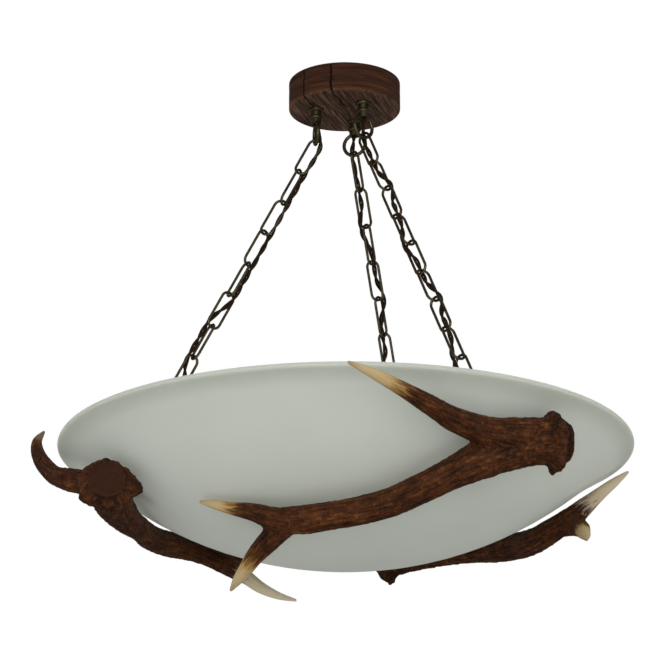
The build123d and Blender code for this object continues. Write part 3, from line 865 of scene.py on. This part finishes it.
@dataclass
class Horn:
    """One tapering branch of an antler: its stations and how much of its tip is pale; a share over one also
    lightens the tip with painted light.

    A station is degrees past the bolt, then shares in percent: the distance from the axis of the rim's
    radius, the height above the rim of the bowl's depth, the thickness of the thickest beam. A burr is a
    list of lumps: each one's direction round the beam and half width in degrees, and how far it stands out
    beyond the burr's ring, as a share of the beam's radius. The dome is how far the cut end bulges.
    The ring's place and half width are millimetres, its swell and waves shares of the branch's radius.
    """

    rows: list[Row]
    pale: float
    # how much of the tip is pale; over one, painted light lightens the tip
    ivory: float = 1.0
    burr: list[Point] = field(default_factory=list)
    dome: float = 0.0
    step: float = 1.2
    around: int = 40
    least_r: float = 0.9
    ring_at: float = 8.0
    ring_half: float = 6.5
    ring_swell: float = 0.34
    ring_wave: float = 0.035
    end_bends: tuple[float, ...] = (85, 65, 45, 25)
    path: Array = field(init=False)
    radius: Array = field(init=False)
    run: Array = field(init=False)
    normal: Array = field(init=False)
    binormal: Array = field(init=False)

    def trace(self, side: Side, bowl: "Bowl") -> None:
        """Works out the smooth line through the stations, its thickness and its cross directions.

        The line is a cubic through the stations whose slope at each is the difference of its
        neighbours over their distance along the line.

        Args:
            side: the antler's side.
            bowl: the bowl that the shares are of.
        """
        rows = np.array(self.rows)
        turn = np.radians(side.value - rows[:, 0])
        reach, height, thick = (rows[:, 1:] / 100 * (bowl.rim_r, bowl.depth, bowl.antler_d)).T
        spots = [reach * np.cos(turn), reach * np.sin(turn), bowl.rim_z + height, thick / 2]
        data = np.column_stack(spots) * MM
        knots = run_along(data[:, :3])
        slope = np.gradient(data, knots, axis=0)
        at = np.linspace(0, knots[-1], int(knots[-1] / (self.step * MM)) + 1)
        left = np.clip(np.searchsorted(knots, at, side="right") - 1, 0, len(knots) - 2)
        width = np.diff(knots)[left][:, None]
        t = (at - knots[left])[:, None] / width
        line = ((2 * t**3 - 3 * t**2 + 1) * data[left] + (t**3 - 2 * t**2 + t) * width * slope[left]
                + (3 * t**2 - 2 * t**3) * data[left + 1] + (t**3 - t**2) * width * slope[left + 1])
        self.path, self.radius, self.run = line[:, :3], np.maximum(line[:, 3], self.least_r * MM), at
        along = unit(np.gradient(self.path, axis=0))
        inward = unit(np.array([0, 0, (bowl.rim_z + bowl.rim_r) * MM]) - self.path)
        self.normal = unit(inward - along * np.sum(inward * along, axis=1)[:, None])
        self.binormal = np.cross(along, self.normal)

    def bell(self, run: Array) -> Array:
        """The burr's ring along the branch: a flat-topped bell, or nothing on a branch without a burr."""
        return np.exp(-(((run - self.ring_at * MM) / (self.ring_half * MM)) ** 4)) * bool(self.burr)

    def lumps(self, turn: Array) -> Array:
        """How far the burr's lumps stand out, a bell round the branch for each.

        Args:
            turn: directions round the branch, in radians.

        Returns:
            Shares of the branch's radius.
        """
        total = np.zeros(len(turn))
        for place, width, out in self.burr:
            apart = np.degrees(np.angle(np.exp(1j * (turn - radians(place)))))
            total += out * np.exp(-((apart / width) ** 2))
        return total

    def tube(self, grow: float, seed: int) -> tuple[Array, list]:
        """The branch as a closed tube with rounded ends, and the burr's ring near its cut end.

        The ring swells by a flat-topped bell along the branch. A ring of points at an end leans out by the
        growth times the sine of its bend, and stands off by the cosine.

        Args:
            grow: how much thicker than the finished branch, in metres.
            seed: the number the ring's small waves are drawn from.

        Returns:
            Vertices and faces.
        """
        turn = np.linspace(0, 2 * pi, self.around, endpoint=False)
        swell = np.full(self.around, self.ring_swell)
        for phase, waves in zip(np.random.default_rng(seed).random(2) * 2 * pi, (4, 7)):
            swell += self.ring_wave * np.cos(waves * turn + phase)
        radius = self.radius[:, None] * (1 + self.bell(self.run)[:, None] * swell)
        bend = np.radians(self.end_bends)[:, None]
        ends = unit(np.stack([self.path[0] - self.path[1], self.path[-1] - self.path[-2]]))
        path = np.concatenate([self.path[0] + ends[0] * (grow + self.dome * MM) * np.sin(bend), self.path,
                               self.path[-1] + ends[1] * grow * np.sin(bend[::-1])])
        blunt = 1 if self.dome == 0 else np.cos(bend) ** 0.5
        radius = np.concatenate([radius[:1] * blunt + grow * np.cos(bend), radius + grow,
                                 radius[-1:] + grow * np.cos(bend[::-1])])
        reach = (len(bend), len(bend))
        normal = np.pad(self.normal, (reach, (0, 0)), "edge")
        binormal = np.pad(self.binormal, (reach, (0, 0)), "edge")
        return tube(path, normal, binormal, radius, self.around)


@dataclass
class Antler:
    """One cast antler: beam, brow tine and fork grown together. Sizes in millimetres.

    The spans are where something fades out: the relief over the pale tip and the cut face's edge as shares,
    the coarse foot of the beam, its burr and its cut end as distances along it.
    """

    side: Side
    beam: Horn
    brow: Horn
    fork: Horn
    seed: int
    web: float = 5.0
    voxel: float = 1.3
    fine_voxel: float = 1.0
    rounds: int = 3
    gutters: int = 17
    gutter_run: float = 16.0
    grain: float = 2.9
    lump: float = 9.0
    knot: float = 6.0
    depth: float = 0.85
    full_depth_r: float = 10.0
    crevice: float = 1.1
    crevice_half: float = 0.07
    bare_tip: Span = (-0.3, 0.4)
    foot: Span = (20.0, 90.0)
    burr: Span = (14.0, 19.0)
    cut: Span = (1.5, 3.5)
    cut_edge: Span = (0.86, 0.98)
    apart: float = 7.3

    def horns(self) -> list[Horn]:
        """The three branches."""
        return [self.beam, self.brow, self.fork]

    def remeshed(self, points: Array, faces: list | Array, voxel: float) -> tuple[Array, Array, Array]:
        """One closed skin over everything that overlaps, evened out.

        In every round each vertex moves halfway to the middle of its neighbours.

        Args:
            points: vertices of closed forms that overlap.
            faces: their faces.
            voxel: the skin's mesh size in millimetres.

        Returns:
            Vertices, vertex normals and quads.
        """
        mesh = bpy.data.meshes.new("antler_skin")
        mesh.from_pydata(points.tolist(), [], [list(face) for face in faces])
        holder = bpy.data.objects.new(mesh.name, mesh)
        skin = holder.modifiers.new("skin", "REMESH")
        skin.mode, skin.voxel_size = "VOXEL", voxel * MM
        even = holder.modifiers.new("even", "SMOOTH")
        even.factor, even.iterations = 0.5, self.rounds
        found, normals, corners = settled(holder)
        return found, normals, corners.reshape(-1, 4)

    def grown(self, bowl: "Bowl") -> tuple[Array, Array, Array]:
        """The three branches grown together, with a rounded web in each crotch.

        Every branch is made thicker by the web's radius, the three are skinned as one, and the skin
        is drawn back by as much along its normals, which leaves the crotches rounded.

        Args:
            bowl: the bowl that the stations are measured from.

        Returns:
            Vertices, vertex normals and quads.
        """
        tubes = []
        for number, horn in enumerate(self.horns()):
            horn.trace(self.side, bowl)
            tubes.append(horn.tube(self.web * MM, self.seed + number))
        thick, normals, quads = self.remeshed(*joined(tubes), self.voxel)
        return self.remeshed(thick - normals * self.web * MM, quads, self.fine_voxel)

    def nearest(self, points: Array) -> tuple[Array, Array, Array, Array, Array, Array]:
        """For every point, the branch it lies on and where.

        Args:
            points: vertices, one row each.

        Returns:
            Branch number, distance along it, share of its pale tip, offset across it, radius there, and
            the offset from its line.
        """
        finds = []
        rows = np.arange(len(points))
        square = np.sum(points**2, axis=1)[:, None]
        for horn in self.horns():
            gap = square + np.sum(horn.path**2, axis=1)[None] - 2 * points @ horn.path.T
            spot = np.argmin(gap, axis=1)
            reach = np.sqrt(np.maximum(gap[rows, spot], 0)) - horn.radius[spot]
            off = points - horn.path[spot]
            local = np.stack([np.sum(off * way[spot], axis=1) for way in (horn.normal, horn.binormal)], -1)
            pale = (horn.run[spot] - (horn.run[-1] - horn.pale * MM)) / (horn.pale * MM)
            finds.append((reach, horn.run[spot], pale, local, horn.radius[spot], off))
        reaches, *others = zip(*finds)
        branch = np.argmin(reaches, axis=0)
        return branch, *(np.stack(values)[branch, rows] for values in others)

    def build(self, bowl: "Bowl") -> None:
        """Builds the antler with its gutters, pearls and burr worked into the skin.

        The burr's lumps push the skin away from the beam's line. The skin then moves along its normals by
        ridges that run along each branch and by grains of about three millimetres, both dying out towards
        the tips and on the cut face, and sinks in a crevice round the cut.

        Args:
            bowl: the bowl that the stations are measured from.
        """
        points, normals, quads = self.grown(bowl)
        branch, run, pale, across, radius, away = self.nearest(points)
        beam = branch == 0
        angle = np.arctan2(across[:, 1], across[:, 0])
        wrapped = np.column_stack([np.cos(angle) * self.gutters / 2, np.sin(angle) * self.gutters / 2,
                                   run / (self.gutter_run * MM)]) + branch[:, None] * self.apart
        ridges = lattice_noise(wrapped, 1.0, self.seed + 5)
        grains, lumps, knots = (lattice_noise(points, size * MM, self.seed + more) for size, more in (
            (self.grain, 6), (self.lump, 7), (self.knot, 8)))
        foot = beam * (1 - step(run / MM, *self.foot))
        burr = beam * (1 - step(run / MM, *self.burr))
        start = self.beam.path[0]
        way = unit(self.beam.path[3] - start)
        end = beam * (1 - step((points - start) @ way / MM, *self.cut))
        share = np.linalg.norm(across, axis=1) / radius
        face = end * (1 - step(share, *self.cut_edge))
        relief = (ridges - 0.5) * 0.9 + (step(grains, 0.45, 0.85) - 0.3) * (0.4 + 0.5 * foot)
        relief += (lumps - 0.5) * 0.5 + burr * (step(knots, 0.25, 0.8) - 0.5) * 1.7
        relief *= (1 - step(pale, *self.bare_tip)) * (1 - 0.7 * face)
        relief -= end * np.exp(-(((share - 1.0) / self.crevice_half) ** 2)) * self.crevice
        thin = np.clip(radius / (self.full_depth_r * MM), 0.25, 1.2)
        knobs = beam * self.beam.bell(run) * self.beam.lumps(angle) * step(share, 0.95, 1.2) * radius
        points = points + unit(away) * knobs[:, None] + normals * (relief * thin * self.depth * MM)[:, None]
        piece = mesh_object(f"{self.side.label}_antler_cast", points, quads, HORN)
        for name, values in (
                ("grain", np.column_stack([across, run * 0.14]) + branch[:, None] * 0.31),
                ("relief", relief * (1 - 0.7 * burr) - 0.25 * burr),
                ("tip", np.clip(pale, -0.6, 1)),
                # how much of each tip is pale, with painted light on tips whose share is over one
                ("ivory", np.array([horn.ivory for horn in self.horns()])[branch]),
                ("cut", face)):
            attribute(piece, name, values)
        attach(piece, "bowl")
        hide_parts(f"{self.side.label}_antler")


@dataclass
class Bowl:
    """The glass bowl and what clamps the antlers and brackets to it. Sizes in millimetres."""

    rim_r: float = 250.0
    rim_z: float = -345.02
    depth: float = 97.3
    antler_d: float = 36.0
    glass: Sequence[str] = ("glass_bowl",)
    steel: Sequence[str] = ("bolt_washers",)
    rubber: Sequence[str] = ("bolt_inner_pads", "bolt_outer_pads")

    def dress(self) -> None:
        """Gives the bowl's solids their finishes."""
        dress(self.glass, GLASS)
        dress(self.steel, ZINC)
        dress(self.rubber, RUBBER)
        dress([f"{side.label}_eye_bolt" for side in Side], BRASS)


@dataclass
class Lamps:
    """The three brackets, lampholders and bulbs inside the bowl."""

    nuts: str = "lamp_nuts"

    def dress(self) -> None:
        """Gives the lamps' solids their finishes."""
        dress([f"{side.label}_lamp_bracket" for side in Side] + [self.nuts], ZINC)
        dress([f"{side.label}_lampholder" for side in Side], PHENOLIC)
        dress([f"{side.label}_bulb" for side in Side], OPAL)


@dataclass
class Studio:
    """Camera, soft light, white surroundings and a pale floor far below."""

    eye: Point = (0.0, -2.59983, -1.08980)
    ahead: Point = (-0.00410955, 0.95010097, 0.31191548)
    right: Point = (0.99998634, 0.00491148, -0.00178544)
    above: Point = (0.00322831, -0.31190388, 0.95010818)
    focal_px: float = 3116.58
    sensor: float = 36.0
    clip: Span = (0.05, 50.0)
    ambient: float = 1.29
    overhead: float = 0.60
    mirrored: float = 0.16
    middle: Point = (0.0, 0.0, -0.35)
    key_place: Point = (0.0, -2.3, -0.45)
    key_size: Span = (1.6, 1.2)
    key_watts: float = 15.0
    left_spark: Point = (-0.75, -2.2, 0.25)
    right_spark: Point = (0.55, -2.2, 0.25)
    spark_size: Span = (0.14, 0.14)
    spark_watts: float = 0.6
    floor_z: float = -2.0
    floor_reach: float = 12.0

    def camera(self) -> None:
        """Sets the camera at the photograph's place and angle."""
        data = bpy.data.cameras.new("camera")
        data.sensor_width = self.sensor
        data.lens = self.focal_px / PHOTO_SIDE * self.sensor
        data.clip_start, data.clip_end = self.clip
        bpy.context.scene.camera = stand(data, self.eye, self.right, self.above, np.negative(self.ahead))

    def world(self) -> None:
        """Grey soft light all round, weaker from above and in reflections; white where the camera looks."""
        world = bpy.data.worlds.new("surroundings")
        bpy.context.scene.world = world
        tree = fresh_tree(world)
        ray = put(tree, "LightPath").outputs
        seen = put(tree, "Math", (ray["Is Camera Ray"], ray["Is Transmission Ray"]), operation="MAXIMUM")
        way = put(tree, "TexCoord").outputs["Generated"]
        up = put(tree, "SeparateXYZ", (way,)).outputs["Z"]
        glow = put(tree, "MapRange", (up, -0.2, 1.0, self.ambient, self.overhead))
        level = put(tree, "Mix", {0: seen, 2: glow, 3: 1.0})
        dimmed = put(tree, "Mix", {0: ray["Is Glossy Ray"], 2: level, 3: self.mirrored})
        light = put(tree, "Background", (linear("#ffffff"), dimmed))
        put(tree, "OutputWorld", (light,))

    def lamp(self, name: str, place: Point, size: Span, watts: float) -> Object:
        """Adds a soft light aimed at the middle of the object.

        Args:
            name: the light's name.
            place: where it stands, in metres.
            size: its width and height in metres.
            watts: its power.

        Returns:
            The light.
        """
        data = bpy.data.lights.new(name, "AREA")
        data.shape, data.size, data.size_y = "RECTANGLE", *size
        data.energy = watts
        back = unit(np.subtract(place, self.middle))
        right = unit(np.cross([0, 0, 1], back))
        return stand(data, place, right, np.cross(back, right), back)

    def lamps(self) -> None:
        """One large soft light in front, level with the bowl, and two small ones that only metal shows."""
        self.lamp("front_softbox", self.key_place, self.key_size, self.key_watts)
        for name, place in (("left_spark", self.left_spark), ("right_spark", self.right_spark)):
            spark = self.lamp(name, place, self.spark_size, self.spark_watts)
            spark.visible_diffuse = False

    def floor(self) -> None:
        """A pale floor far below, white to the camera."""
        material = bpy.data.materials.new("pale_floor")
        tree = fresh_tree(material)
        ray = put(tree, "LightPath").outputs
        shade = put(tree, "Mix", {
            0: ray["Is Glossy Ray"], 6: linear("#d4d4d3"), 7: linear("#6c6c6a")}, data_type="RGBA")
        plain = put(tree, "BsdfDiffuse", (shade,))
        white = put(tree, "Emission", (linear("#ffffff"), 1.0))
        mixed = put(tree, "MixShader", (ray["Is Camera Ray"], plain, white))
        put(tree, "OutputMaterial", (mixed,))
        mesh = bpy.data.meshes.new("floor")
        corners = [(x * self.floor_reach, y * self.floor_reach, self.floor_z)
                   for x, y in ((-1, -1), (1, -1), (1, 1), (-1, 1))]
        mesh.from_pydata(corners, [], [(0, 1, 2, 3)])
        mesh.materials.append(material)
        ground = bpy.data.objects.new("floor", mesh)
        bpy.context.scene.collection.objects.link(ground)

    def build(self) -> None:
        """Sets up everything round the object."""
        bpy.context.scene.view_settings.view_transform = "Standard"
        self.camera()
        self.world()
        self.lamps()
        self.floor()


HANGERS = [
    Hanger(Side.LEFT, [23, 28, 28, 50, 64, 65, 68, 60, 38, 16],
           [135, 135, 135, 135, 135, 135, 315, 315, 135]),
    Hanger(Side.FRONT, [-6, 8] * 5, [225, 225, 315, 405, 495, 585, 675, 765, 855]),
    Hanger(Side.REAR, [13] * 10, [-45, -45, -135, -225, -315, -405, -495, -585, -585]),
]

ANTLERS = [
    Antler(
        Side.FRONT,
        Horn([(-7.5, 95.6, -40.1, 102.8), (-4, 92.4, -41.1, 105.6), (0, 87.6, -45.2, 100),
              (6, 82.4, -55, 91.7), (13, 72.8, -68.9, 72.2), (18, 66, -77.1, 69.4),
              (24, 58.8, -84.3, 66.7), (34, 53.2, -89.9, 66.7), (46, 50, -93, 65.3), (56, 48.8, -94, 68.1),
              (66, 49.6, -92.5, 56.9), (77, 53.2, -83.8, 40.3), (83, 55.2, -79.7, 30.6),
              (89, 58, -74.5, 22.2), (94, 60.4, -69.9, 7.8)], pale=39, dome=7,
             burr=[(148, 16, 0.12), (172, 14, 0.28), (225, 40, 0.04), (20, 40, -0.1)]),
        Horn([(-3, 91.4, -37, 88), (2, 89.2, -38.8, 86), (9, 88, -38, 66.7), (16, 89.6, -34.9, 58.3),
              (23, 96.4, -30.8, 47.2), (30, 104, -23.1, 34.7), (36, 109.2, -13.4, 22.2),
              (39.7, 112.2, -7.4, 7.8)], pale=57),
        Horn([(61, 49.6, -94.6, 55.6), (70.5, 45.2, -100.2, 54.2), (79, 42.8, -106.9, 50),
              (85.7, 42.8, -115.6, 41.7), (92, 42.4, -123.3, 34.7), (98, 43.2, -132.6, 23.6),
              (102, 44, -139.8, 7.8)], pale=41),
        seed=11),
    Antler(
        Side.LEFT,
        Horn([(-16, 88.4, -52.4, 94.4), (-9, 84, -56.5, 94.4), (1, 79.2, -58.6, 86.1),
              (10.5, 75.2, -62.2, 69.4), (20, 73.2, -61.7, 58.3), (31, 73.6, -61.2, 61.1),
              (42, 75.2, -58.1, 63.9), (52, 75.2, -56.5, 58.3), (60, 74.4, -58.6, 52.8),
              (67, 74.8, -57.6, 41.7), (74, 77.6, -51.4, 30.6), (81, 81.2, -44.2, 19.4),
              (87, 84.8, -38, 7.8)], pale=40,
             burr=[(8, 34, -0.2), (70, 20, 0.48), (135, 28, 0.26), (200, 24, 0.28), (262, 26, 0.12)]),
        Horn([(-6, 84, -49.3, 72.2), (-1, 89.2, -41.1, 61.1), (3, 95.2, -33.4, 55.6),
              (7, 100, -25.2, 45.8), (11, 104, -12.3, 41.7), (15, 108, 5.1, 34.7), (19, 110.4, 21.6, 26.4),
              (25, 111.6, 41.1, 8.3)], pale=45, ivory=0.3),
        # painted light: this fork's tip is lightened
        Horn([(56, 74.8, -58.6, 50), (60, 69.6, -67.8, 48.6), (61, 63.2, -77.1, 45.8),
              (61, 56.4, -87.4, 36.1), (63, 50, -99.7, 29.2), (67, 44, -108.9, 19.4),
              (73, 38.4, -115.1, 7.8)], pale=60, ivory=1.6),
        seed=23),
    Antler(
        Side.REAR,
        # painted light: this beam's tip is lightened
        Horn([(-12, 93.2, -41.1, 94.4), (-7.5, 90.8, -41.1, 83.3), (0, 87.2, -42.1, 72.2),
              (6, 85.6, -42.7, 66.7), (14, 83.6, -45.7, 65.3), (24, 80.4, -51.9, 66.7),
              (34, 78, -56, 66.7), (44, 76, -58.6, 63.9), (50, 78.4, -53.4, 59.7), (54, 82.8, -45.7, 54.2),
              (56, 87.2, -35.5, 43.1), (57, 92, -24.7, 31.9), (58, 97.2, -13.9, 22.2),
              (59, 101.6, -5.1, 7.8)], pale=48, ivory=1.5,
             burr=[(40, 24, 0.10), (100, 20, 0.16), (150, 22, 0.08), (250, 30, -0.1)]),
        Horn([(0, 88.8, -38, 61.1), (8, 92.4, -29.8, 55.6), (16, 98.8, -15.4, 44.4), (23, 104.8, -1, 33.3),
              (29, 108.8, 12.3, 23.6), (33, 110.8, 22.6, 16.7), (36, 111.6, 31.9, 7.8)], pale=42),
        Horn([(50, 80, -51.4, 50), (56, 82.8, -55.5, 50), (60, 83.2, -61.7, 44.4), (64, 82.8, -68.9, 34.7),
              (67, 82.8, -75, 25), (69, 82.8, -81.2, 7.8)], pale=30),
        seed=37),
]


def main() -> None:
    """Builds the studio and the light's sub-assemblies in order."""
    logging.basicConfig(level=logging.INFO, format="%(name)s: %(message)s")
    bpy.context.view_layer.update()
    Studio().build()
    Rose().dress()
    for hanger in HANGERS:
        hanger.dress()
    bowl = Bowl()
    bowl.dress()
    Lamps().dress()
    for antler in ANTLERS:
        antler.build(bowl)


if __name__ == "__main__":
    main()
